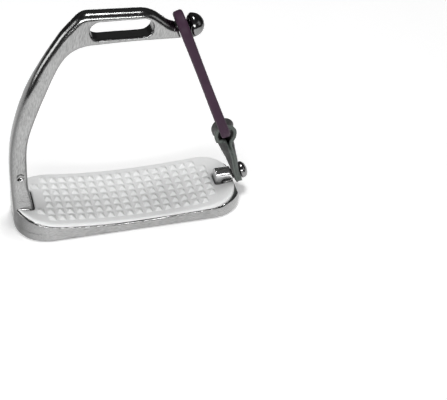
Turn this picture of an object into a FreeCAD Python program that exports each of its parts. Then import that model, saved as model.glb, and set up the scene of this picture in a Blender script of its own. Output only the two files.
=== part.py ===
"""A quick-release stirrup iron: one polished casting, open on one side, closed there by a rubber ring.

Millimetres. X runs along the foot plate, the open side is +X. Y runs across the foot plate. +Z is up.
The origin is the middle of the foot plate's underside, so the iron stands on z = 0.
"""

import FreeCAD, Part
import math
import os

from FreeCAD import Vector

os.makedirs("parts", exist_ok=True)

# ---- driving sizes -------------------------------------------------------------------------------

# foot plate of the casting
PLATE_LEFT = -64.0  # outer end under the branch
PLATE_RIGHT = 67.4  # outer end at the open side, at the rest face
PLATE_WIDTH = 47.0
PLATE_CORNER = 19.0
RIM_HEIGHT = 4.4  # upright edge of the plate
RIM_LEDGE = 0.3  # level ledge on the upright edge, where the shoulder starts
SEAT_INSET = 0.8  # the pad and the seat under it stand in from the upright edge
SHOULDER_ROOT = 0.5  # the shoulder starts this far down in the rim
SHOULDER_TOP = 12.5  # it slopes in from the rim up to this level
SHOULDER_CORNER = 23.0  # corner radius it has there
SEAT_LOW = 5.8  # lowest level of the seat the pad lies on
SEAT_RADIUS_LEFT = 263.0  # the seat curves up to both ends
SEAT_RADIUS_RIGHT = 1064.0
WINDOW_LENGTH = 40.0  # two windows through the plate, under the pad
WINDOW_WIDTH = 26.0
WINDOW_CORNER = 4.0
WINDOW_BAR = 12.0  # bar between the two windows

# branch and eye of the casting
BRANCH_DEPTH = 11.0
EYE_DEPTH = 9.0
BRANCH_INNER = -54.6  # inner face of the branch where it is straight
ROOT_DEPTH = 18.0  # the branch spreads to this where it meets the plate
ROOT_INNER = -52.6
ROOT_LEVEL = 8.5
ROOT_TOP = 27.0
FOOT_LEVEL = 2.0  # the branch runs this far down inside the plate
BRANCH_TAPER = (84.0, 103.0)  # levels between which the branch thins to the eye's depth
OUTER_ROUND = 3.8
INNER_ROUND = 2.0
SCOOP_RADIUS = 2.6  # small round hollows left by the casting, front and back
SCOOP_DEPTH = 1.7
SCOOP_PLACE = (-58.6, 33.5)
NOSE_TOP = 120.3
NOSE_BOTTOM = 112.2

# slot for the stirrup leather
SLOT_LENGTH = 33.7
SLOT_HEIGHT = 10.8
SLOT_MIDDLE = (-1.65, 121.9)
SLOT_TILT = 2.3
SLOT_RIM = 0.5

# plane of the rubber ring: it leans in over the foot plate
RING_LEAN = 19.5
RING_STAND = 4.465  # middle of the ring outside the tab's inner face
RING_LOW = 29.8  # middles of its two round ends, measured up the plane
RING_HIGH = 98.7
RING_INNER = 6.0
RING_STRAND = 4.0
RING_THICK = 5.5
RING_ROUND = 1.2

# knob at the end of the eye
KNOB_LEVEL = 117.75
KNOB_BALL = 13.0
KNOB_NECK_LENGTH = 7.2
KNOB_LENGTH = 8.6
KNOB_NECK = 6.0
KNOB_SPIGOT = 4.6
KNOB_SPIGOT_LENGTH = 9.0

# horn at the end of the foot plate, with the stud the tab turns on
HORN_BORE = 8.0  # outside diameter of the horn
HORN_LENGTH = 13.9  # counted from the plate's end at the rest face
HORN_LEVEL = 12.2
HORN_FOOT_LENGTH = 4.0
STUD_NECK = 6.0
STUD_HEAD = 10.0
STUD_HEAD_LENGTH = 4.7
STUD_SPIGOT = 3.6
STUD_SPIGOT_LENGTH = 6.0

# leather tab
LEATHER = 2.15
TAB_WIDTH = 16.0
TAB_WAIST = 6.8  # where it is gathered to pass through the ring
TAB_SHOULDER = 12.5  # full width up to here
TAB_NECK = 17.4  # waist from here up
TAB_TAIL_WIDTH = 13.4
TAB_TAIL = 5.8  # leather below the stud's centre

# rubber pad
PAD_LEFT = -62.5
PAD_SHORT = 3.4  # the pad ends this far inside the plate's end
PAD_CORNER = 18.0
PAD_LOW = 6.905  # lowest point of its dished top, below the pyramids
PAD_LOW_PLACE = 10.85
PAD_DISH = 357.0
PAD_EDGE = 0.9
LUG_END = 1.0  # the lugs stop short of the rest face
PYRAMID_PITCH = 5.5
PYRAMID_BASE = 4.8
PYRAMID_TOP = 0.6
PYRAMID_HEIGHT = 1.5
PYRAMID_ROOT = 0.4
PYRAMID_ROWS = {-3: (-8, 8), -2: (-9, 9), -1: (-8, 9), 0: (-8, 9), 1: (-8, 9), 2: (-9, 9), 3: (-8, 8)}

# clearances
TURN_GAP = 0.08  # radial, tab on stud
FACE_GAP = 0.2  # tab against the horn's end and the head
BAR_GAP = 0.15  # ring's bar inside the fold, over its whole turn
PAD_GAP = 0.3  # pad around root and horn
HORN_NOTCH = 1.4  # pad beside the horn
LUG_GAP = 0.15
END_GAP = 1.1  # plate's end face behind the tab
NOSE_GAP = 0.3  # eye's nose behind the ring

# ---- derived sizes -------------------------------------------------------------------------------

lean = math.radians(RING_LEAN)
normal = Vector(math.cos(lean), 0, math.sin(lean))  # square to the ring's plane, outwards
upward = Vector(-math.sin(lean), 0, math.cos(lean))  # up along the ring's plane
ring_outer = RING_INNER + RING_STRAND
bar_centre = RING_LOW - RING_INNER - RING_STRAND / 2
tab_stack = 2 * LEATHER
plate_half = PLATE_WIDTH / 2
plate_end = PLATE_RIGHT * math.cos(lean)
tab_inside = plate_end + END_GAP
tab_outside = tab_inside + tab_stack
tab_middle = (tab_inside + tab_outside) / 2
ring_plane = tab_inside + RING_STAND  # distance of the ring's plane from the origin
nose_plane = ring_plane - RING_THICK / 2 - NOSE_GAP
horn_start = PLATE_RIGHT - HORN_LENGTH
pad_right = PLATE_RIGHT - PAD_SHORT
stud_x = (tab_middle - HORN_LEVEL * math.sin(lean)) / math.cos(lean)
stud_up = HORN_LEVEL * math.cos(lean) - stud_x * math.sin(lean)


def in_plane(n, y, u):
    """The point n outwards, y across and u up, counted in the ring's plane."""
    return normal * n + upward * u + Vector(0, y, 0)


def face_of(edges):
    return Part.Face(Part.Wire(Part.__sortEdges__(edges)))


def line(a, b):
    return Part.makeLine(a, b)


def curve(points, start=None, end=None):
    """A smooth curve through the points, with its end directions where they are given."""
    spline = Part.BSplineCurve()
    if start is None:
        spline.interpolate(points)
    else:
        spline.interpolate(Points=points, InitialTangent=start, FinalTangent=end)
    return spline.toShape()


def through(a, b, c):
    return Part.Arc(a, b, c).toShape()


def rounded_plan(x0, x1, half, radius, z):
    """A rectangle with round corners, level at z."""
    near, far = half - radius, half
    k = radius * math.sqrt(0.5)
    left, right = x0 + radius, x1 - radius
    corners = []
    middles = ((left, -1, -near, -1), (right, 1, -near, -1), (right, 1, near, 1), (left, -1, near, 1))
    for cx, sx, cy, sy in middles:
        corners.append(
            through(
                Vector(cx + sx * radius, cy, z),
                Vector(cx + sx * k, cy + sy * k, z),
                Vector(cx, cy + sy * radius, z),
            )
        )
    sides = [
        line(Vector(left, -far, z), Vector(right, -far, z)),
        line(Vector(left, far, z), Vector(right, far, z)),
        line(Vector(x0, -near, z), Vector(x0, near, z)),
        line(Vector(x1, -near, z), Vector(x1, near, z)),
    ]
    return face_of(corners + sides)


def slab(x0, x1, y0, y1, z0, z1):
    return Part.makeBox(x1 - x0, y1 - y0, z1 - z0, Vector(x0, y0, z0))


def rod(diameter, length, start, direction):
    return Part.makeCylinder(diameter / 2, length, start, direction)


def ring_side(n0, n1, size=400.0):
    """Everything between two planes parallel to the ring's."""
    block = Part.makeBox(size, size, n1 - n0, Vector(-size / 2, -size / 2, 0))
    block.Placement = FreeCAD.Placement(normal * n0, FreeCAD.Rotation(Vector(0, 0, 1), normal))
    return block


def turned(profile, origin, direction):
    """A solid of revolution: profile is (distance along, radius) with straight steps."""
    side = Vector(0, 1, 0)
    points = [origin + direction * a + side * r for a, r in profile]
    wire = Part.makePolygon(points + points[:1])
    return Part.Face(wire).revolve(origin, direction, 360)


# ---- rubber pad and the seat under it ------------------------------------------------------------


def seat_level(x):
    """Height of the seat: two arcs that meet level in the middle of the plate."""
    radius = SEAT_RADIUS_LEFT if x < 0 else SEAT_RADIUS_RIGHT
    return SEAT_LOW + radius - math.sqrt(radius**2 - x**2)


def pad_level(x):
    """Height of the pad's dished top, between the pyramids."""
    return PAD_LOW + PAD_DISH - math.sqrt(PAD_DISH**2 - (x - PAD_LOW_PLACE) ** 2)


def below(level, x0, x1, split=None):
    """Everything under a curved level that runs along X."""
    reach = PLATE_WIDTH
    spans = [(x0, x1)] if split is None else [(x0, split), (split, x1)]
    edges = []
    for a, b in spans:
        ends_and_middle = [Vector(x, -reach, level(x)) for x in (a, (a + b) / 2, b)]
        edges.append(through(*ends_and_middle))
    edges.append(line(Vector(x0, -reach, level(x0)), Vector(x0, -reach, -1)))
    edges.append(line(Vector(x0, -reach, -1), Vector(x1, -reach, -1)))
    edges.append(line(Vector(x1, -reach, -1), Vector(x1, -reach, level(x1))))
    return face_of(edges).extrude(Vector(0, 2 * reach, 0))


def window(side, gap):
    """Outline of one window of the plate, or of the lug in it, at the rest face."""
    near = WINDOW_BAR / 2 + gap
    far = WINDOW_BAR / 2 + WINDOW_LENGTH - gap
    x0, x1 = (near, far) if side > 0 else (-far, -near)
    return rounded_plan(x0, x1, WINDOW_WIDTH / 2 - gap, WINDOW_CORNER, 0)


def pyramid(x, y):
    """One grip pyramid, its root sunk in the pad."""
    low, high = PYRAMID_BASE / 2, PYRAMID_TOP / 2
    tall = PYRAMID_HEIGHT + PYRAMID_ROOT
    shape = Part.makeWedge(-low, 0, -low, -high, -high, low, tall, low, high, high)
    shape.rotate(Vector(), Vector(1, 0, 0), 90)
    shape.translate(Vector(x, y, pad_level(x) - PYRAMID_ROOT))
    return shape


def make_pad():
    half = plate_half - SEAT_INSET
    outline = rounded_plan(PAD_LEFT, pad_right, half, PAD_CORNER, 0)
    span = (PLATE_LEFT - 5, PLATE_RIGHT + 5)
    pad = outline.extrude(Vector(0, 0, 30)).common(below(pad_level, *span))
    rim = [e for e in pad.Edges if e.CenterOfMass.z > SEAT_LOW and not is_upright(e)]
    pad = pad.makeFillet(PAD_EDGE, rim)
    pad = pad.cut(below(seat_level, *span, split=0.0))
    for side in (-1, 1):
        lug = window(side, LUG_GAP).extrude(Vector(0, 0, 30))
        lug.translate(Vector(0, 0, LUG_END))
        pad = pad.fuse(lug.common(below(seat_level, *span, split=0.0)))
    root_half = ROOT_DEPTH / 2 + PAD_GAP
    pad = pad.cut(slab(PLATE_LEFT - 1, ROOT_INNER + PAD_GAP, -root_half, root_half, 0, 30))
    horn_half = HORN_BORE / 2 + HORN_NOTCH
    pad = pad.cut(slab(horn_start - PAD_GAP, pad_right + 1, -horn_half, horn_half, 0, 30))
    pyramids = []
    for row, (first, last) in PYRAMID_ROWS.items():
        for column in range(first, last + 1):
            pyramids.append(pyramid(column * PYRAMID_PITCH, row * PYRAMID_PITCH))
    return pad.multiFuse(pyramids)


def is_upright(edge):
    box = edge.BoundBox
    return box.ZLength > 0.5 and box.XLength < 0.01 and box.YLength < 0.01


# ---- casting -------------------------------------------------------------------------------------


def nose_x(z):
    """Where the nose ends at a level: its flat is parallel to the ring."""
    return (nose_plane - z * math.sin(lean)) / math.cos(lean)


def flat(x, z):
    return Vector(x, 0, z)


def outer_edges():
    """Outline of the branch's outer side and the eye's top, from the plate to the nose."""
    start = flat(PLATE_LEFT, ROOT_TOP)
    shoulder, top_left, top_right = flat(-34.5, 119.2), flat(-18.5, 132.6), flat(8, 130.9)
    climb, along = flat(1, 1.45), top_right - top_left
    side = [start, flat(-62.7, 52), flat(-58.5, 71.3), flat(-48.8, 96), shoulder]
    nose = [top_right, flat(17, 127.8), flat(22.6, 122.9), flat(nose_x(NOSE_TOP), NOSE_TOP)]
    return [
        line(flat(PLATE_LEFT, FOOT_LEVEL), start),
        curve(side, flat(0, 1), climb),
        curve([shoulder, flat(-27, 127.8), top_left], climb, along),
        line(top_left, top_right),
        curve(nose, along, flat(1, -0.25)),
    ]


def inner_edges():
    """Outline of the foot space, from the nose round to the plate."""
    under, straight = flat(-17, 113.6), flat(BRANCH_INNER, 36)
    round_side = [under, flat(-36.5, 99.3), flat(-50.8, 65), straight]
    root_top, root_foot = flat(BRANCH_INNER, ROOT_TOP), flat(ROOT_INNER, ROOT_LEVEL)
    return [
        curve([flat(nose_x(NOSE_BOTTOM), NOSE_BOTTOM), flat(8, 113.3), under], flat(-1, 0.06), flat(-1, 0)),
        curve(round_side, flat(-1, 0), flat(0, -1)),
        line(straight, root_top),
        curve([root_top, root_foot], flat(0, -1), flat(0, -1)),
        line(root_foot, flat(ROOT_INNER, FOOT_LEVEL)),
    ]


def branch_face():
    """Front view of branch, eye and nose."""
    nose = line(flat(nose_x(NOSE_TOP), NOSE_TOP), flat(nose_x(NOSE_BOTTOM), NOSE_BOTTOM))
    foot = line(flat(ROOT_INNER, FOOT_LEVEL), flat(PLATE_LEFT, FOOT_LEVEL))
    return face_of(outer_edges() + [nose] + inner_edges() + [foot])


def branch_depth():
    """Side view of branch and eye, run along X to cut the front view to depth."""
    top = 140.0
    x0, length = PLATE_LEFT - 5, PLATE_RIGHT - PLATE_LEFT
    eye, branch, root = EYE_DEPTH / 2, BRANCH_DEPTH / 2, ROOT_DEPTH / 2
    low, high = BRANCH_TAPER
    v = lambda y, z: Vector(x0, y, z)
    edges = []
    for s in (-1, 1):
        spread = [v(s * root, ROOT_LEVEL), v(s * branch, ROOT_TOP)]
        edges.append(line(v(s * root, 0), v(s * root, ROOT_LEVEL)))
        edges.append(curve(spread, Vector(0, 0, 1), Vector(0, 0, 1)))
        edges.append(line(v(s * branch, ROOT_TOP), v(s * branch, low)))
        edges.append(curve([v(s * branch, low), v(s * eye, high)], Vector(0, 0, 1), Vector(0, 0, 1)))
        edges.append(line(v(s * eye, high), v(s * eye, top)))
    edges.append(line(v(-root, 0), v(root, 0)))
    edges.append(line(v(-eye, top), v(eye, top)))
    return face_of(edges).extrude(Vector(length, 0, 0))


def beside(edge, outline):
    """Whether an edge of the cut body runs over one of the outline's edges, seen from the front."""
    a, b = edge.ParameterRange
    spot = edge.valueAt((a + b) / 2)
    spot = Part.Vertex(spot.x, 0, spot.z)
    return any(spot.distToShape(one)[0] < 0.01 for one in outline)


def make_branch():
    front = branch_face()
    front.translate(Vector(0, -ROOT_DEPTH, 0))
    body = front.extrude(Vector(0, 2 * ROOT_DEPTH, 0)).common(branch_depth())
    for outline, radius in ((outer_edges(), OUTER_ROUND), (inner_edges(), INNER_ROUND)):
        free = [e for e in body.Edges if e.BoundBox.ZMin > FOOT_LEVEL - 1 and on_front(e)]
        edges = [e for e in free if beside(e, outline)]
        body = body.makeFillet(radius, edges)
    return body


def on_front(edge):
    """Whether an edge stays on one of the two wide faces."""
    a, b = edge.ParameterRange
    first, last = edge.valueAt(a), edge.valueAt(b)
    return first.y * last.y > 0 and min(abs(first.y), abs(last.y)) > EYE_DEPTH / 2 - 0.01


def slot_tool():
    """The slot as a solid right through the eye, with a chamfered rim on both faces."""
    half = (SLOT_LENGTH - SLOT_HEIGHT) / 2
    r = SLOT_HEIGHT / 2
    depth = EYE_DEPTH / 2
    pieces = []
    wide = r + SLOT_RIM + 1
    front_rim = (-depth - 1, -depth + SLOT_RIM, wide, r)
    back_rim = (depth - SLOT_RIM, depth + 1, r, wide)
    for y0, y1, r0, r1 in ((-depth - 2, depth + 2, r, r), back_rim, front_rim):
        wires = []
        for y, radius in ((y0, r0), (y1, r1)):
            v = lambda x, z: Vector(x, y, z)
            edges = [
                through(v(-half, -radius), v(-half - radius, 0), v(-half, radius)),
                line(v(-half, radius), v(half, radius)),
                through(v(half, radius), v(half + radius, 0), v(half, -radius)),
                line(v(half, -radius), v(-half, -radius)),
            ]
            wires.append(Part.Wire(edges))
        pieces.append(Part.makeLoft(wires, True, True))
    tool = pieces[0].multiFuse(pieces[1:])
    tool.rotate(Vector(), Vector(0, 1, 0), SLOT_TILT)
    tool.translate(Vector(SLOT_MIDDLE[0], 0, SLOT_MIDDLE[1]))
    return tool


def make_plate():
    outline = rounded_plan(PLATE_LEFT, PLATE_RIGHT, plate_half, PLATE_CORNER, 0)
    rim = outline.extrude(Vector(0, 0, RIM_HEIGHT))
    span = (PLATE_LEFT - 5, PLATE_RIGHT + 5)
    left = PLATE_LEFT + RIM_LEDGE
    half, corner = plate_half - RIM_LEDGE, PLATE_CORNER - RIM_LEDGE
    low = rounded_plan(left, PLATE_RIGHT, half, corner, RIM_HEIGHT - SHOULDER_ROOT)
    half, corner = plate_half - SEAT_INSET, SHOULDER_CORNER - SEAT_INSET
    high = rounded_plan(left, PLATE_RIGHT, half, corner, SHOULDER_TOP)
    shoulder = Part.makeLoft([low.OuterWire, high.OuterWire], True, True)
    shoulder = shoulder.common(below(seat_level, *span, split=0.0))
    plate = rim.fuse(shoulder).common(ring_side(-300, plate_end))
    for side in (-1, 1):
        hole = window(side, 0).extrude(Vector(0, 0, 20))
        hole.translate(Vector(0, 0, -1))
        plate = plate.cut(hole)
    return plate


def make_horn():
    """The horn, its foot on the plate, and its end cut square to the tab."""
    start = Vector(horn_start, 0, HORN_LEVEL)
    horn = rod(HORN_BORE, 30, start, Vector(1, 0, 0))
    half = HORN_BORE / 2
    foot = slab(horn_start, horn_start + HORN_FOOT_LENGTH, -half, half, RIM_HEIGHT, HORN_LEVEL)
    return horn.fuse(foot).common(ring_side(-300, tab_inside - FACE_GAP))


def make_frame():
    frame = make_branch().fuse(make_plate()).fuse(make_horn())
    frame = frame.cut(slot_tool())
    for side in (-1, 1):
        out = BRANCH_DEPTH / 2 + SCOOP_RADIUS - SCOOP_DEPTH
        place = Vector(SCOOP_PLACE[0], side * out, SCOOP_PLACE[1])
        frame = frame.cut(Part.makeSphere(SCOOP_RADIUS, place))
    frame = frame.cut(knob_shank()).cut(stud_spigot())
    return frame.removeSplitter()


# ---- studs ---------------------------------------------------------------------------------------


def knob_shank():
    """The knob's neck and the spigot that is pressed into the nose of the eye."""
    seat_x = nose_x(KNOB_LEVEL + KNOB_NECK / 2)
    along = Vector(1, 0, 0)
    spigot = rod(KNOB_SPIGOT, KNOB_SPIGOT_LENGTH, Vector(seat_x - KNOB_SPIGOT_LENGTH, 0, KNOB_LEVEL), along)
    neck = rod(KNOB_NECK, KNOB_NECK_LENGTH + 2, Vector(seat_x, 0, KNOB_LEVEL), along)
    return spigot.fuse(neck)


def make_knob():
    start = Vector(nose_x(KNOB_LEVEL + KNOB_NECK / 2) + KNOB_NECK_LENGTH, 0, KNOB_LEVEL)
    ball_r = KNOB_BALL / 2
    back, front = 1.8, KNOB_LENGTH
    profile = [(0, 0), (0, ball_r - 1.8), (0.55, ball_r - 0.6), (back, ball_r)]
    steps = 6
    for i in range(1, steps + 1):
        turn = math.radians(90 * i / steps)
        profile.append((back + (front - back) * math.sin(turn), ball_r * math.cos(turn)))
    return knob_shank().fuse(turned(profile, start, Vector(1, 0, 0))).removeSplitter()


def stud_spigot():
    """The part of the lower stud that is pressed into the horn's end."""
    start = in_plane(tab_inside - FACE_GAP - STUD_SPIGOT_LENGTH, 0, stud_up)
    return rod(STUD_SPIGOT, STUD_SPIGOT_LENGTH, start, normal)


def make_stud():
    base = in_plane(tab_inside - FACE_GAP, 0, stud_up)
    neck_length = tab_stack + 2 * FACE_GAP
    head_r = STUD_HEAD / 2
    straight = 1.6
    profile = [(0, 0), (0, STUD_NECK / 2), (neck_length, STUD_NECK / 2), (neck_length, head_r - 0.5)]
    profile.append((neck_length + 0.5, head_r))
    steps = 5
    for i in range(steps + 1):
        turn = math.radians(90 * i / steps)
        along = neck_length + straight + (STUD_HEAD_LENGTH - straight) * math.sin(turn)
        profile.append((along, head_r * math.cos(turn)))
    return stud_spigot().fuse(turned(profile, base, normal)).removeSplitter()


# ---- ring and tab --------------------------------------------------------------------------------


def stadium(radius):
    """A long loop around the two round ends, in the ring's inner face."""
    n = ring_plane - RING_THICK / 2
    low, high = RING_LOW, RING_HIGH
    p = lambda y, u: in_plane(n, y, u)
    edges = [
        through(p(-radius, low), p(0, low - radius), p(radius, low)),
        line(p(radius, low), p(radius, high)),
        through(p(radius, high), p(0, high + radius), p(-radius, high)),
        line(p(-radius, high), p(-radius, low)),
    ]
    return face_of(edges)


def make_ring():
    loop = stadium(ring_outer).extrude(normal * RING_THICK)
    loop = loop.cut(stadium(RING_INNER).extrude(normal * RING_THICK))
    return loop.makeFillet(RING_ROUND, loop.Edges)


def bar_reach():
    """How far the ring's bar reaches from its own centre anywhere in the tab's waist."""
    half = TAB_WAIST / 2
    up = RING_LOW - math.sqrt(RING_INNER**2 - half**2) - bar_centre
    corner = math.hypot(up - RING_ROUND, RING_THICK / 2 - RING_ROUND)
    return corner + RING_ROUND


def make_tab():
    fold_in = bar_reach() + BAR_GAP
    fold_out = fold_in + LEATHER
    c = ring_plane
    b = bar_centre
    tail = stud_up - TAB_TAIL
    far = TAB_WIDTH / 2 + 1
    p = lambda n, u: in_plane(n, -far, u)
    # both layers lie together at the stud and swell above it, round the ring's bar
    together = stud_up + TAB_TAIL
    down = -upward
    inner_swell = [p(tab_inside - 0.2, 6), p(c - fold_out + 0.15, 15)]
    outer_swell = [p(c + 3.5, 17), p(c + 2.3, 9), p(c + 1.6, 1)]
    inside = [p(tab_inside, together), *inner_swell, p(c - fold_out, b)]
    outside = [p(c + fold_out, b), *outer_swell, p(tab_outside, together)]
    edges = [
        curve(inside, upward, upward),
        through(p(c - fold_out, b), p(c, b + fold_out), p(c + fold_out, b)),
        curve(outside, down, down),
        line(p(tab_outside, together), p(tab_outside, tail)),
        line(p(tab_outside, tail), p(tab_inside, tail)),
        line(p(tab_inside, tail), p(tab_inside, together)),
    ]
    strap = face_of(edges).extrude(Vector(0, 2 * far, 0))
    strap = strap.common(tab_front(tail, b + fold_out + 1)).common(tab_section(tail - 1))
    strap = strap.cut(rod(2 * fold_in, 2 * far, p(c, b), Vector(0, 1, 0)))
    hole = rod(STUD_NECK + 2 * TURN_GAP, tab_stack + 2, in_plane(tab_inside - 1, 0, stud_up), normal)
    return strap.cut(hole)


def tab_section(low):
    """The tab's cupped cross-section: its two edges lie together and its middle bulges outwards."""
    reach = 20.0
    half, waist = TAB_WIDTH / 2 + 0.5, TAB_WAIST / 2
    corners = []
    for y, out in ((-half, 0.9), (-waist, reach), (waist, reach), (half, 0.9)):
        corners.append(in_plane(tab_outside + out, y, low))
    for y, out in ((half, 0.6), (waist, reach), (-waist, reach), (-half, 0.6)):
        corners.append(in_plane(tab_inside - out, y, low))
    return Part.Face(Part.makePolygon(corners + corners[:1])).extrude(upward * 80)


def tab_front(tail, top):
    """Outline of the tab seen square on, as a thick block."""
    n0, n1 = ring_plane - 20, ring_plane + 20
    full, waist, end = TAB_WIDTH / 2, TAB_WAIST / 2, TAB_TAIL_WIDTH / 2
    p = lambda y, u: in_plane(n0, y, u)
    round_top = tail + 0.72 * end
    edges = [through(p(-end, round_top), p(0, tail), p(end, round_top))]
    for s in (-1, 1):
        side = [p(s * end, round_top), p(s * (end + 0.6), 0), p(s * full, TAB_SHOULDER)]
        edges.append(curve(side, upward, upward))
        edges.append(line(p(s * full, TAB_SHOULDER), p(s * waist, TAB_NECK)))
        edges.append(line(p(s * waist, TAB_NECK), p(s * waist, top)))
    edges.append(line(p(-waist, top), p(waist, top)))
    return face_of(edges).extrude(normal * (n1 - n0))


# ---- export --------------------------------------------------------------------------------------

NODES = {
    "iron_frame": make_frame,
    "top_knob": make_knob,
    "lower_stud": make_stud,
    "tread_pad": make_pad,
    "rubber_ring": make_ring,
    "leather_tab": make_tab,
}

for name, make in NODES.items():
    shape = make()
    shape.exportStep("parts/" + name + ".step")
    box = shape.BoundBox
    print(name, shape.isValid(), len(shape.Solids), round(shape.Volume),
          [round(v, 2) for v in (box.XMin, box.YMin, box.ZMin, box.XMax, box.YMax, box.ZMax)])

pivot = in_plane(ring_plane, 0, bar_centre)
stud = in_plane(tab_middle, 0, stud_up)
print("ring pivot", pivot, "stud", stud, "normal", normal)
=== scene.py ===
import math

import bmesh
import bpy
from mathutils import Matrix, Vector


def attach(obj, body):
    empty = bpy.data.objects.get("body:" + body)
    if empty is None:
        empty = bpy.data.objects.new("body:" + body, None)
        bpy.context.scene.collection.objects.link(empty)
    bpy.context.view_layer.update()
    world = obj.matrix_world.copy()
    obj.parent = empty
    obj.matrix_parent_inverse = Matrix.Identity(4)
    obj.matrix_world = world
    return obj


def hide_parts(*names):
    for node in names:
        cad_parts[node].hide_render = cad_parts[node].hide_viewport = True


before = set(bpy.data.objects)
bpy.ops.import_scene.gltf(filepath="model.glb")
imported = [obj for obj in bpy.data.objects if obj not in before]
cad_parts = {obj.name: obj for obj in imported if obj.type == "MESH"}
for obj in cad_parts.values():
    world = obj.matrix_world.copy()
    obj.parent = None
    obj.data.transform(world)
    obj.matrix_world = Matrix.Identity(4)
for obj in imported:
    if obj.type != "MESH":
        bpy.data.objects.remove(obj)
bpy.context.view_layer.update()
scene = bpy.context.scene

# ---- Studio --------------------------------------------------------------------------------------
# A pale table top under soft lights, seen from above and a little to the left of the iron.
# The dark walls of the room are what the polished metal shows between the lights.

CAMERA_PLACE = Vector((-0.1196, -0.5589, 0.5002))
CAMERA_AZIMUTH = math.radians(-17.846)
CAMERA_ELEVATION = math.radians(40.914)
CAMERA_ROLL = math.radians(3.814)
LENS, SENSOR = 105.7, 36  # millimetres
NEAREST = 0.01

camera = bpy.data.objects.new("camera", bpy.data.cameras.new("camera"))
camera.data.lens = LENS
camera.data.sensor_width = SENSOR
camera.data.clip_start = NEAREST
back = Vector((
    math.sin(CAMERA_AZIMUTH) * math.cos(CAMERA_ELEVATION),
    -math.cos(CAMERA_AZIMUTH) * math.cos(CAMERA_ELEVATION),
    math.sin(CAMERA_ELEVATION),
))
level = Vector((math.cos(CAMERA_AZIMUTH), math.sin(CAMERA_AZIMUTH), 0))
right = level * math.cos(CAMERA_ROLL) + back.cross(level) * math.sin(CAMERA_ROLL)
turn = Matrix((right, back.cross(right), back)).transposed()
camera.matrix_world = Matrix.Translation(CAMERA_PLACE) @ turn.to_4x4()
scene.collection.objects.link(camera)
scene.camera = camera
scene.view_settings.view_transform = "Standard"


class Socket:
    """One value in a material's node tree; sums and products of these add Math nodes."""

    def __init__(self, tree, link):
        self.tree, self.link = tree, link

    def math(self, operation, *others):
        node = self.tree.nodes.new("ShaderNodeMath")
        node.operation = operation
        for place, value in enumerate((self, *others)):
            if isinstance(value, Socket):
                self.tree.links.new(value.link, node.inputs[place])
            else:
                node.inputs[place].default_value = value
        return Socket(self.tree, node.outputs[0])

    def __add__(self, other):
        return self.math("ADD", other)

    def __sub__(self, other):
        return self.math("SUBTRACT", other)

    def __mul__(self, other):
        return self.math("MULTIPLY", other)

    def __rsub__(self, other):
        return (self * -1.0).math("ADD", other)

    __radd__ = __add__

    def clamped(self):
        return self.math("MAXIMUM", 0.0).math("MINIMUM", 1.0)

    def power(self, exponent):
        return self.math("POWER", exponent)


class Finish:
    """A material on Principled BSDF, with one method for every other kind of node."""

    def __init__(self, name, **uniform):
        self.material = bpy.data.materials.new(name)
        self.material.use_nodes = True
        self.tree = self.material.node_tree
        self.shader = self.tree.nodes["Principled BSDF"]
        for socket, value in uniform.items():
            self.shader.inputs[socket.replace("_", " ")].default_value = value

    def node(self, kind, settings=None, **sockets):
        node = self.tree.nodes.new("ShaderNode" + kind)
        for key, value in (settings or {}).items():
            setattr(node, key, value)
        for name, value in sockets.items():
            target = self.input(node, name)
            if isinstance(value, Socket):
                self.tree.links.new(value.link, target)
            else:
                target.default_value = value
        return node

    @staticmethod
    def input(node, name):
        """Socket by its name, or by its number where names repeat, as in Mix."""
        return node.inputs[int(name[1:])] if name[1:].isdigit() else node.inputs[name.replace("_", " ")]

    def out(self, node, name=0):
        return Socket(self.tree, node.outputs[name])

    def place(self, centre=(0, 0, 0), scale=(1, 1, 1), rotation=(0, 0, 0)):
        """Object coordinates, centred, turned and stretched."""
        texture = self.out(self.node("TexCoord"), "Object")
        sockets = {"Vector": texture, "Location": centre, "Scale": scale, "Rotation": rotation}
        return self.out(self.node("Mapping", {"vector_type": "TEXTURE"}, **sockets))

    def noise(self, where, scale, detail=3.0, roughness=0.5):
        sockets = {"Vector": where, "Scale": scale, "Detail": detail, "Roughness": roughness}
        return self.out(self.node("TexNoise", None, **sockets), "Fac")

    def mix(self, factor, first, second):
        """Two colours by a factor."""
        sockets = {"i0": factor, "i6": first, "i7": second}
        return self.out(self.node("Mix", {"data_type": "RGBA"}, **sockets), 2)

    def bump(self, height, strength, distance):
        sockets = {"Height": height, "Strength": strength, "Distance": distance}
        return self.out(self.node("Bump", None, **sockets))

    def feed(self, **links):
        for name, value in links.items():
            self.tree.links.new(value.link, self.shader.inputs[name.replace("_", " ")])


FLOOR_HALF = 0.5
FLOOR_LEVEL = -0.0002  # a hair under the foot
FLOOR_GLOW = 0.3

floor_mesh = bpy.data.meshes.new("floor")
sheet = bmesh.new()
bmesh.ops.create_grid(sheet, x_segments=1, y_segments=1, size=FLOOR_HALF)
sheet.to_mesh(floor_mesh)
sheet.free()
floor = bpy.data.objects.new("floor", floor_mesh)
floor.location.z = FLOOR_LEVEL
scene.collection.objects.link(floor)
paper = Finish("pale_table", Base_Color=(0.9, 0.9, 0.9, 1), Roughness=0.9, Specular_IOR_Level=0.1)
paper.shader.inputs["Emission Color"].default_value = (1, 1, 1, 1)
paper.shader.inputs["Emission Strength"].default_value = FLOOR_GLOW
floor_mesh.materials.append(paper.material)

world = bpy.data.worlds.new("room")
scene.world = world
world.use_nodes = True
sky = world.node_tree
sky_place = sky.nodes.new("ShaderNodeTexCoord")
sky_split = sky.nodes.new("ShaderNodeSeparateXYZ")
sky_ramp = sky.nodes.new("ShaderNodeValToRGB")
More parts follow.
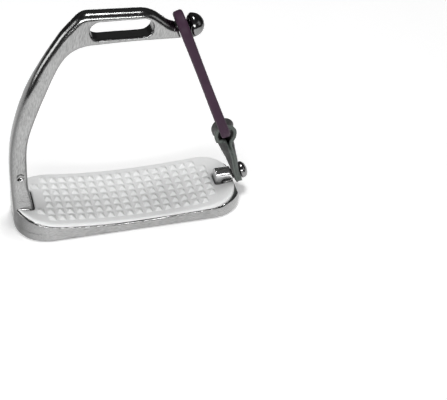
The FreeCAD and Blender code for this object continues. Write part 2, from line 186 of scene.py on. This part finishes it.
# Grey of the room by height, from straight down at 0 to straight up at 1.
ROOM_STOPS = ((0.0, 0.05), (0.44, 0.05), (0.52, 0.14), (0.68, 0.05), (0.94, 0.08), (1.0, 0.5))
while len(sky_ramp.color_ramp.elements) < len(ROOM_STOPS):
    sky_ramp.color_ramp.elements.new(0.5)
for element, (height, grey) in zip(sky_ramp.color_ramp.elements, ROOM_STOPS):
    element.position, element.color = height, (grey, grey, grey, 1)
sky.links.new(sky_place.outputs["Generated"], sky_split.inputs[0])
sky.links.new(sky_split.outputs["Z"], sky_ramp.inputs[0])
sky.links.new(sky_ramp.outputs[0], sky.nodes["Background"].inputs[0])
sky.nodes["Background"].inputs[1].default_value = 1.0


def soft_light(name, place, aim, size, power):
    """A soft box of a width and height in metres, aimed at a spot, with a power in watts."""
    lamp = bpy.data.lights.new(name, "AREA")
    lamp.shape = "RECTANGLE"
    lamp.size, lamp.size_y = size
    lamp.energy = power
    box = bpy.data.objects.new(name, lamp)
    box.rotation_euler = (Vector(aim) - Vector(place)).to_track_quat("-Z", "Y").to_euler()
    box.location = place
    scene.collection.objects.link(box)


soft_light("light_front", place=(-0.3, -1.5, 0.65), aim=(0, 0, 0.05), size=(1.6, 0.35), power=15)
soft_light("light_over", place=(0.1, 0.1, 1.1), aim=(0, 0, 0.05), size=(0.3, 0.25), power=6)
soft_light("light_left", place=(-1.0, 0.1, 0.35), aim=(0, 0, 0.06), size=(0.5, 0.4), power=3)
soft_light("light_right", place=(1.0, -0.4, 0.5), aim=(0, 0, 0.06), size=(0.4, 0.6), power=0.5)

# ---- Casting -------------------------------------------------------------------------------------
# One casting of plated brass or stainless steel: foot plate, branch, eye, nose and horn in one piece.
# It is ground, then polished on a mop, which rounds every edge a little and leaves a faint haze.

MOP_STEP = 0.0006  # size of the even mesh that is smoothed
MOP_PASSES, MOP_FORCE = 8, 0.5
WELD = 1e-6


def merged_copy(node, name):
    """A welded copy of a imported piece, to be worked on."""
    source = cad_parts[node]
    shape = bmesh.new()
    shape.from_mesh(source.data)
    bmesh.ops.remove_doubles(shape, verts=shape.verts, dist=WELD)
    bmesh.ops.recalc_face_normals(shape, faces=shape.faces)
    mesh = bpy.data.meshes.new(name)
    shape.to_mesh(mesh)
    shape.free()
    return mesh


def piece(name, mesh, body, nodes):
    """A finished piece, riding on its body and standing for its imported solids."""
    thing = bpy.data.objects.new(name, mesh)
    scene.collection.objects.link(thing)
    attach(thing, body)
    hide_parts(*nodes)
    return thing


casting_mesh = merged_copy("iron_frame", "polished_casting")
casting = piece("polished_casting", casting_mesh, "iron", ["iron_frame"])
grind = casting.modifiers.new("grind", "REMESH")
grind.mode = "VOXEL"
grind.voxel_size = MOP_STEP
grind.use_smooth_shade = True
mop = casting.modifiers.new("mop", "SMOOTH")
mop.factor = MOP_FORCE
mop.iterations = MOP_PASSES

DULL, PAINTED_SIDE_DARKNESS = 0.42, 0.22  # shares of the metal's colour left in the mottle, and under the painted dark reflection
PAINTED_SIDE_STRENGTH = 0.8  # how far the painted dark reflection darkens the faces turned sideways
# Near-white colour of the painted highlight on the horn.
HORN_PAINTED_LIGHT = (0.9, 0.9, 0.9, 1)


def polished(name, colour, roughness, haze, painted_horn_light=False):
    """Polished metal: slow waves left by hand polishing, fine scratches,
    and a painted dark reflection on the round faces that turn away from front and back.

    The painted dark reflection, and the painted highlight that brightens the horn when asked for,
    are chosen for the look.
    """
    metal = Finish(name, Base_Color=(*colour, 1), Metallic=1.0, Roughness=roughness)
    where = metal.place()
    bloom = metal.noise(where, 60.0, 4.0)
    split = metal.node("SeparateXYZ", None, Vector=where)
    along, height = metal.out(split, "X"), metal.out(split, "Z")
    upright = (height * 80.0 - 1.0).clamped()  # 0 on the foot, 1 from 25 mm up
    at_horn = (along * 100.0 - 4.6).clamped()  # 0 up to 46 mm from the middle, 1 from 56 mm
    level_streak = metal.noise(metal.place(scale=(0.25, 0.02, 0.02)), 90.0, 3.0)
    upright_streak = metal.noise(metal.place(scale=(0.02, 0.02, 0.25), rotation=(0, 0.15, 0)), 90.0, 3.0)
    streak = level_streak * (1.0 - upright) + upright_streak * upright
    normal = metal.out(metal.node("NewGeometry"), "Normal")
    across = metal.out(metal.node("SeparateXYZ", None, Vector=normal), "Y").math("ABSOLUTE")
    # Painted dark reflection: faces that turn away from front and back are darkened, except on the horn.
    painted_side_shade = (1.0 - (across * 2.0 - 1.0).clamped()) * (1.0 - at_horn) * PAINTED_SIDE_STRENGTH
    mottle = (bloom.power(1.5) * 0.5 + (streak - 0.4) * 2.2).clamped()
    dull = tuple(value * DULL for value in colour)
    # Colour of the painted dark reflection.
    dark = tuple(value * PAINTED_SIDE_DARKNESS for value in colour)
    tone = metal.mix(mottle, (*colour, 1), (*dull, 1))
    # Painted highlight: the horn above the plate is painted near white, brighter than its reflections.
    if painted_horn_light:
        horn = at_horn * (height * 500.0 - 4.0).clamped()  # painted highlight above the plate only, from 8 to 10 mm up
        tone = metal.mix(horn, tone, HORN_PAINTED_LIGHT)
    metal.feed(Base_Color=metal.mix(painted_side_shade, tone, (*dark, 1)))
    metal.feed(Roughness=(roughness + bloom * haze + streak * 0.06).clamped())
    waves = metal.noise(where, 30.0, 2.0)
    metal.feed(Normal=metal.bump(waves + streak * 0.12, 0.25, 0.0012))
    return metal.material


casting.data.materials.clear()
casting_finish = polished("polished_nickel", (0.52, 0.52, 0.518), 0.09, 0.08, painted_horn_light=True)
casting.data.materials.append(casting_finish)

# ---- Knob and stud -------------------------------------------------------------------------------
# Two turned metal parts, pressed into the casting: the knob the ring hooks over, and the stud the tab
# is buttoned on. Both come off a lathe, so their round faces are smooth and their backs are flat.

LEAN = math.radians(19.5)  # the ring's plane leans in over the plate
OUTWARDS = Vector((math.cos(LEAN), 0, math.sin(LEAN)))
UPWARDS = Vector((-math.sin(LEAN), 0, math.cos(LEAN)))
LATHE_STEPS, DOME_STEPS = 48, 14


def built(shape, name, place=Matrix()):
    """A mesh from a shape drawn in millimetres, moved to its place and scaled to metres."""
    bmesh.ops.transform(shape, matrix=Matrix.Scale(0.001, 4) @ place, verts=shape.verts)
    bmesh.ops.recalc_face_normals(shape, faces=shape.faces)
    mesh = bpy.data.meshes.new(name)
    shape.to_mesh(mesh)
    shape.free()
    for face in mesh.polygons:
        face.use_smooth = True
    return mesh


def axis_frame(origin, along):
    """Matrix that sends local X along a direction, local Y to Y, from an origin."""
    along = along.normalized()
    side = Vector((0, 1, 0))
    return Matrix.Translation(origin) @ Matrix((along, side, along.cross(side))).transposed().to_4x4()


def lathe(profile):
    """A solid of revolution round X from points of (distance along, radius)."""
    shape = bmesh.new()
    verts = [shape.verts.new((along, radius, 0)) for along, radius in profile]
    edges = [shape.edges.new(pair) for pair in zip(verts, verts[1:])]
    bmesh.ops.spin(
        shape, geom=verts + edges, cent=(0, 0, 0), axis=(1, 0, 0), angle=math.tau,
        steps=LATHE_STEPS, use_merge=True
    )
    bmesh.ops.remove_doubles(shape, verts=shape.verts, dist=1e-4)
    return shape


def dome(start, length, radius):
    """Profile points of a rounded end."""
    turns = [math.radians(90 * step / DOME_STEPS) for step in range(1, DOME_STEPS + 1)]
    return [(start + length * math.sin(turn), radius * math.cos(turn)) for turn in turns]


KNOB_BASE = Vector((18.31, 0, 117.75))
KNOB_SPIGOT, KNOB_NECK, KNOB_HEAD = 2.2, 2.95, 6.5  # radii
KNOB_BACK, KNOB_WIDEST, KNOB_DOME = 16.2, 18, 6.8  # where the head starts, is widest, and its dome's length

knob_profile = [(0, 0), (0, KNOB_SPIGOT), (8.6, KNOB_SPIGOT), (9.1, KNOB_NECK), (KNOB_BACK, KNOB_NECK)]
knob_profile += [(KNOB_BACK, 4.5), (16.5, 5.3), (17.2, 6.1), (KNOB_WIDEST, KNOB_HEAD)]
knob_profile += dome(KNOB_WIDEST, KNOB_DOME, KNOB_HEAD)
knob_mesh = built(lathe(knob_profile), "turned_knob", axis_frame(KNOB_BASE, Vector((1, 0, 0))))
knob = piece("turned_knob", knob_mesh, "iron", ["top_knob"])

STUD_ROOT, STUD_LEVEL = 58.236, -10.707  # start of its spigot and height of its axis, in the ring's lean
STUD_SPIGOT, STUD_NECK, STUD_HEAD = 1.75, 2.95, 5
STUD_BACK, STUD_WIDEST, STUD_DOME = 10.7, 12.3, 3.1

stud_profile = [(0, 0), (0, STUD_SPIGOT), (6, STUD_SPIGOT), (6.01, STUD_NECK), (10.68, STUD_NECK)]
stud_profile += [(STUD_BACK, 4.3), (11, 4.8), (11.4, STUD_HEAD), (STUD_WIDEST, STUD_HEAD)]
stud_profile += dome(STUD_WIDEST, STUD_DOME, STUD_HEAD)
stud_place = axis_frame(OUTWARDS * STUD_ROOT + UPWARDS * STUD_LEVEL, OUTWARDS)
stud_mesh = built(lathe(stud_profile), "turned_stud", stud_place)
stud = piece("turned_stud", stud_mesh, "iron", ["lower_stud"])
turned_finish = polished("turned_nickel", (0.38, 0.38, 0.378), 0.07, 0.05)
for thing in (knob, stud):
    thing.data.materials.append(turned_finish)

# ---- Tread pad -----------------------------------------------------------------------------------
# One moulding of soft white rubber, dished along the foot, with 126 small grip pyramids on top.
# Its edge is broad and round. Two lugs under it plug the windows of the plate and hold it there.

PAD_LEFT, PAD_RIGHT, PAD_HALF = -62.45, 63.95, 22.65
PAD_CORNERS = (21.5, 18.0)  # the closed end is rounder, so the shoulder of the plate shows there
PAD_DRAWN = 2.1  # height it is drawn at, before it is fitted to the seat and the dish
PAD_RIM = 1.9  # rounding of the upper edge
ROOT_NOTCH = ((-54.6, -6.6), 2.7)  # centre and radius of the corner arc beside the branch's root
HORN_NOTCH = ((54.8, -3.8), 1.6)  # and beside the horn
LEFT_START, RIGHT_END = 202.3, 357.6  # degrees at which the end arcs run into the notches
SLICE_STEP, SLICE_SHIFT = 4, 0.3  # cuts across the pad that let it bend to the dish
DISH_RADIUS, DISH_MIDDLE, DISH_LOW = 357, 10.85, 6.905
SEAT_LEFT, SEAT_RIGHT, SEAT_LOW = 263, 1064, 5.8  # radii of its two halves, and its lowest height
PITCH = 5.5
LAST_ROW = 3
LONG_ROWS, SHORT_ROWS = (-2, 2), (-3, 3)  # one column more on the left, one less on the right
PYRAMID_FOOT, PYRAMID_TIP, PYRAMID_DEPTH = 3.6, 0.4, 1.85
PYRAMID_LIFT = 0.53  # its middle above the pad's top
RIDGE_ROUND = 0.22
LUG_SIZE, LUG_CORNER = (39.6, 25.6, 5.0), 3.9
LUG_PLACE, LUG_MIDDLE = 26, 3.6
SMALL_FACE = 2e-7  # square metres, below which a face belongs to a rounded edge


def arc_points(centre, radius, first, last, steps):
    """Points on an arc between two angles in degrees."""
    turns = [math.radians(first + (last - first) * step / steps) for step in range(steps + 1)]
    return [(centre[0] + radius * math.cos(turn), centre[1] + radius * math.sin(turn)) for turn in turns]


def pad_level(x):
    """Dished top of the pad, between the pyramids."""
    return DISH_LOW + DISH_RADIUS - math.sqrt(DISH_RADIUS**2 - (x - DISH_MIDDLE) ** 2)


def seat_level(x):
    """Seat of the casting under the pad."""
    radius = SEAT_LEFT if x < 0 else SEAT_RIGHT
    return SEAT_LOW + radius - math.sqrt(radius**2 - x**2)


def pad_body():
    """The pad without pyramids and lugs: drawn flat, rounded, cut in slices and bent to the dish."""
    left, right = PAD_CORNERS
    half = arc_points(*ROOT_NOTCH, 0, -90, 5)
    half += arc_points((PAD_LEFT + left, left - PAD_HALF), left, LEFT_START, 270, 10)
    half += arc_points((PAD_RIGHT - right, right - PAD_HALF), right, 270, RIGHT_END, 12)
    half += arc_points(*HORN_NOTCH, 270, 180, 4)
    outline = half + [(x, -y) for x, y in reversed(half)]
    shape = bmesh.new()
    sheet = shape.faces.new([shape.verts.new((x, y, 0)) for x, y in outline])
    lifted = bmesh.ops.extrude_face_region(shape, geom=[sheet])["geom"]
    raised = [vert for vert in lifted if isinstance(vert, bmesh.types.BMVert)]
    bmesh.ops.translate(shape, verts=raised, vec=(0, 0, PAD_DRAWN))
    rim = [edge for edge in shape.edges if all(vert.co.z > 1 for vert in edge.verts)]
    bmesh.ops.bevel(
        shape, geom=rim, offset=PAD_RIM, segments=5, profile=0.5, affect="EDGES", material=-1,
        clamp_overlap=True
    )
    for x in range(-60, 64, SLICE_STEP):
        everything = list(shape.verts) + list(shape.edges) + list(shape.faces)
        cut_at = (x + SLICE_SHIFT, 0, 0)
        bmesh.ops.bisect_plane(shape, geom=everything, dist=1e-5, plane_co=cut_at, plane_no=(1, 0, 0))
    for vert in shape.verts:
        low = seat_level(vert.co.x)
        vert.co.z = low + vert.co.z / PAD_DRAWN * (pad_level(vert.co.x) - low)
    return shape


def pad_pyramids():
    """All pyramids as closed shapes sunk a little into the pad, their ridges rounded."""
    shape = bmesh.new()
    eighth = Matrix.Rotation(math.radians(45), 4, "Z")
    for row in range(-LAST_ROW, LAST_ROW + 1):
        first = -9 if row in LONG_ROWS else -8
        last = 8 if row in SHORT_ROWS else 9
        for column in range(first, last + 1):
            x = column * PITCH
            place = Matrix.Translation((x, row * PITCH, pad_level(x) + PYRAMID_LIFT)) @ eighth
            bmesh.ops.create_cone(
                shape, cap_ends=True, segments=4, radius1=PYRAMID_FOOT, radius2=PYRAMID_TIP,
                depth=PYRAMID_DEPTH, matrix=place
            )
    ridges = [edge for edge in shape.edges if abs(edge.verts[0].co.z - edge.verts[1].co.z) > 0.5]
    bmesh.ops.bevel(
        shape, geom=ridges, offset=RIDGE_ROUND, segments=2, profile=0.5, affect="EDGES", material=-1
    )
    return shape


def pad_lugs():
    """Two blocks under the pad that fill the plate's windows."""
    shape = bmesh.new()
    for side in (-1, 1):
        place = Matrix.Translation((LUG_PLACE * side, 0, LUG_MIDDLE)) @ Matrix.Diagonal((*LUG_SIZE, 1))
        bmesh.ops.create_cube(shape, size=1, matrix=place)
    upright = [edge for edge in shape.edges if abs(edge.verts[0].co.z - edge.verts[1].co.z) > 1]
    bmesh.ops.bevel(
        shape, geom=upright, offset=LUG_CORNER, segments=5, profile=0.5, affect="EDGES", material=-1
    )
    return shape


whole = bmesh.new()
for part in (pad_body(), pad_pyramids(), pad_lugs()):
    scrap = bpy.data.meshes.new("scrap")
    part.to_mesh(scrap)
    part.free()
    whole.from_mesh(scrap)
    bpy.data.meshes.remove(scrap)
pad = piece("grip_pad", built(whole, "grip_pad"), "iron", ["tread_pad"])
for face in pad.data.polygons:
    face.use_smooth = face.normal.z > 0.98 or face.area < SMALL_FACE
rubber = Finish("white_rubber", Base_Color=(0.8, 0.8, 0.79, 1), Roughness=0.55, Specular_IOR_Level=0.35)
where = rubber.place()
mottle = rubber.noise(where, 70.0, 4.0)
grime = rubber.noise(where, 400.0, 3.0, 0.6)
shade = (mottle * 0.5 + grime * 0.5).clamped()
rubber.feed(Base_Color=rubber.mix(shade, (0.92, 0.925, 0.92, 1), (0.80, 0.805, 0.805, 1)))
rubber.feed(Roughness=(0.45 + grime * 0.25).clamped())
rubber.feed(Normal=rubber.bump(grime + mottle * 0.5, 0.12, 0.0004))
pad.data.materials.append(rubber.material)

# ---- Ring ----------------------------------------------------------------------------------------
# The loop of dark rubber that closes the open side. It is one moulding with a rounded oblong section,
# pulled a little thinner between its ends, as it is stretched from the tab to the knob.

RING_PLANE = 69.099  # middle of the ring, counted along its normal
RING_LOW, RING_HIGH = 29.8, 98.7
RING_MIDDLE = 8.0  # radius of the loop's centre line
RING_WIDE, RING_THICK, RING_CORNER = 3.96, 5.46, 1.5
RING_PULL = 0.1  # share by which the strands are thinner half way up
STRAND_STEPS, END_STEPS = 10, 24


def moved_on(shape, edges, step):
    """Carries an open edge loop one step further along a strand."""
    grown = bmesh.ops.extrude_edge_only(shape, edges=edges)["geom"]
    moved = [one for one in grown if isinstance(one, bmesh.types.BMVert)]
    bmesh.ops.translate(shape, verts=moved, vec=step)
    return [one for one in grown if isinstance(one, bmesh.types.BMEdge)]


def turned_on(shape, edges, level):
    """Carries an open edge loop round one end of the ring."""
    swept = bmesh.ops.spin(
        shape, geom=edges, cent=(0, 0, level), axis=(1, 0, 0), angle=math.pi, steps=END_STEPS, use_merge=False
    )["geom_last"]
    return [one for one in swept if isinstance(one, bmesh.types.BMEdge)]


shape = bmesh.new()
place = Matrix.Translation((0, RING_MIDDLE, RING_LOW)) @ Matrix.Diagonal((RING_THICK, RING_WIDE, 1, 1))
bmesh.ops.create_grid(shape, x_segments=1, y_segments=1, size=0.5, matrix=place)
bmesh.ops.bevel(
    shape, geom=list(shape.verts), offset=RING_CORNER, segments=5, profile=0.5, affect="VERTICES", material=-1
)
bmesh.ops.delete(shape, geom=list(shape.faces), context="FACES_ONLY")
section = list(shape.edges)
stride = (RING_HIGH - RING_LOW) / STRAND_STEPS
for _ in range(STRAND_STEPS):
    section = moved_on(shape, section, (0, 0, stride))
section = turned_on(shape, section, RING_HIGH)
for _ in range(STRAND_STEPS):
    section = moved_on(shape, section, (0, 0, -stride))
turned_on(shape, section, RING_LOW)
bmesh.ops.remove_doubles(shape, verts=shape.verts, dist=1e-3)
for vert in shape.verts:
    along = (vert.co.z - RING_LOW) / (RING_HIGH - RING_LOW)
    if 0 < along < 1:
        pull = 1 - RING_PULL * math.sin(math.pi * along)
        middle = math.copysign(RING_MIDDLE, vert.co.y)
        vert.co.y = middle + (vert.co.y - middle) * pull
        vert.co.x *= pull
lean_frame = Matrix((OUTWARDS, Vector((0, 1, 0)), UPWARDS)).transposed().to_4x4()
ring_place = Matrix.Translation(OUTWARDS * RING_PLANE) @ lean_frame
ring = piece("release_ring", built(shape, "release_ring", ring_place), "ring", ["rubber_ring"])
dark = Finish("ring_rubber", Base_Color=(0.05, 0.027, 0.046, 1), Roughness=0.55, Specular_IOR_Level=0.15)
where = dark.place()
bloom = dark.noise(where, 120.0, 4.0)
pits = dark.noise(where, 900.0, 2.0, 0.6)
dark.feed(Base_Color=dark.mix(bloom, (0.040, 0.019, 0.036, 1), (0.068, 0.034, 0.060, 1)))
dark.feed(Roughness=(0.34 + bloom * 0.25 + pits * 0.1).clamped())
dark.feed(Normal=dark.bump(pits + bloom * 0.6, 0.12, 0.0003))
ring.data.materials.append(dark.material)

# ---- Tab -----------------------------------------------------------------------------------------
# A strap of dark waxed leather folded over the ring's bar. Both ends are buttoned on the stud.
# Above the stud its two layers bulge apart while their cut grey-green edges stay together.

LEATHER = 2.05
BAR_LEVEL = 21.8  # height of the ring's bar, in the ring's lean, as for every level below
FOLD = 4.84  # radius of the strap's middle in the fold
TAIL = 5.75  # strap below the stud
HOLE, HOLE_REACH = 3.12, 1.2  # its radius, and how far off a ragged edge point is pulled onto it
FLARE = 0.8  # the strap's edges stand out this much where it is gathered in the ring
SIDE_LEVELS = (  # half width of the strap by level
    (-16.46, 0.0), (-16.2, 1.9), (-15.4, 3.6), (-14.0, 5.2), (-12.0, 6.3), (-9.0, 6.8), (0, 7.3),
    (8, 7.8), (12.5, 7.8), (14.5, 6.0), (16.2, 4.4), (18, 3.9), (21, 3.8), (30, 3.7)
)
INNER_LINE = (  # place of each layer's middle, from the ring's plane, by level
    (-16.46, -3.4), (-5, -3.4), (4, -3.7), (10, -4.4), (16, -4.84), (21.8, -4.84)
)
OUTER_LINE = (
    (-16.46, -1.23), (-5, -1.2), (1, 0.5), (9, 1.4), (14, 2.3), (17, 3.1), (19, 4.1), (20.4, 4.65),
    (21.8, 4.84)
)
INNER_CLOSE, OUTER_CLOSE = (19.4, 1.9), (17.6, 2.6)  # where the edges start to meet, over what height
EDGE_PLACE, EDGE_DRIFT = -2.315, 1.9  # where they meet at the stud, and how much further out above it
DRIFT_START, DRIFT_HEIGHT = 6, 14
EDGE_PRESS, EDGE_BIAS = 0.4, 0.3
ROWS, COLUMNS = 110, 16
SLIT = (OUTWARDS * (RING_PLANE + 1.5) + UPWARDS * 2.5) / 1000  # the buttonhole's slit above the stud, which is only painted


def held(value):
    """A value kept between 0 and 1."""
    return min(max(value, 0), 1)


def between(stops, level):
    """Value at a level, on straight lines between stops."""
    if level <= stops[0][0]:
        return stops[0][1]
    for (low, first), (high, last) in zip(stops, stops[1:]):
        if level <= high:
            part = (level - low) / (high - low)
            return first + (last - first) * part
    return stops[-1][1]


def strap_middle(along):
    """Point of the strap's middle line (out, up) from its inner tail at 0 to its outer tail at 1."""
    leg = BAR_LEVEL - STUD_LEVEL + TAIL
    length = 2 * leg + math.pi * FOLD
    run = along * length
    if run < leg:
        up = run - TAIL + STUD_LEVEL
        return between(INNER_LINE, up), up
    if run > leg + math.pi * FOLD:
        up = length - run - TAIL + STUD_LEVEL
        return between(OUTER_LINE, up), up
    turn = (run - leg) / FOLD
    return -FOLD * math.cos(turn), BAR_LEVEL + FOLD * math.sin(turn)


shape = bmesh.new()
bmesh.ops.create_grid(shape, x_segments=ROWS, y_segments=COLUMNS, size=1)
for vert in shape.verts:
    out, up = strap_middle((vert.co.x + 1) / 2)
    across = vert.co.y
    half = between(SIDE_LEVELS, up)
    start, height = INNER_CLOSE if out < 0 else OUTER_CLOSE
    closing = held((start - up) / height)
    middle = EDGE_PLACE + EDGE_DRIFT * held((up + DRIFT_START) / DRIFT_HEIGHT)
    together = middle + math.copysign(LEATHER / 2 - EDGE_PRESS, out - middle + EDGE_BIAS)
    flare = FLARE * (1 - closing) * across**2
    shared = (1 - closing) * out + closing * together
    out += (shared - out) * across**2 + flare * out / FOLD
    up += flare * max(up - BAR_LEVEL, 0) / FOLD
    vert.co = Vector((out, across * half, up))
centres = [(face, face.calc_center_median()) for face in shape.faces]
spots = [face for face, centre in centres if math.hypot(centre.y, centre.z - STUD_LEVEL) < HOLE]
bmesh.ops.delete(shape, geom=spots, context="FACES")
for vert in shape.verts:
    reach = math.hypot(vert.co.y, vert.co.z - STUD_LEVEL)
    if vert.is_boundary and reach < HOLE + HOLE_REACH:
        vert.co.y *= HOLE / reach
        vert.co.z = STUD_LEVEL + (vert.co.z - STUD_LEVEL) * HOLE / reach
bmesh.ops.recalc_face_normals(shape, faces=shape.faces)
tab = piece("folded_tab", built(shape, "folded_tab", ring_place), "tab", ["leather_tab"])
stock = tab.modifiers.new("stock", "SOLIDIFY")
stock.thickness = LEATHER / 1000
stock.offset = 0
stock.use_even_offset = True
stock.material_offset_rim = 1
hide = Finish("tab_leather", Base_Color=(0.03, 0.025, 0.025, 1), Roughness=0.5)
where = hide.place()
grain = hide.noise(where, 700.0, 4.0, 0.6)
wear = hide.noise(where, 150.0, 3.0)
inside_ring = hide.place(centre=SLIT, rotation=(0, -LEAN, 0))
spot = hide.node("SeparateXYZ", None, Vector=inside_ring)
sideways = hide.out(spot, "Y").math("ABSOLUTE")
lengthways = hide.out(spot, "Z").math("ABSOLUTE")
near = (4.0 - lengthways * 1000.0).clamped()  # fades out 3 to 4 mm from the middle of the cut
# The slit is only painted: its two edges are paler, partly from the cut leather's own paler colour and partly
# from painted highlight.
pale_cut_edge_and_highlight = (1.6 - sideways * 1600.0).clamped() * near
# A near-black line down the middle of the slit is painted shade, because the mesh has no slit.
cut = (1.0 - sideways * 2500.0).clamped() * near
tone = hide.mix(wear.power(2.0), (0.025, 0.024, 0.025, 1), (0.085, 0.085, 0.082, 1))
tone = hide.mix(pale_cut_edge_and_highlight * 0.7, tone, (0.25, 0.24, 0.2, 1))
hide.feed(Base_Color=hide.mix(cut, tone, (0.004, 0.004, 0.004, 1)))
hide.feed(Roughness=(0.4 + grain * 0.3).clamped())
hide.feed(Normal=hide.bump(grain, 0.3, 0.0003))
edge_coat = Finish("tab_cut_edge", Base_Color=(0.2, 0.22, 0.19, 1), Roughness=0.75)
where = edge_coat.place()
fibre = edge_coat.noise(where, 900.0, 4.0, 0.7)
edge_coat.feed(Base_Color=edge_coat.mix(fibre, (0.05, 0.06, 0.055, 1), (0.16, 0.18, 0.165, 1)))
edge_coat.feed(Roughness=(0.6 + fibre * 0.3).clamped())
edge_coat.feed(Normal=edge_coat.bump(fibre, 0.5, 0.0003))
tab.data.materials.append(hide.material)
tab.data.materials.append(edge_coat.material)
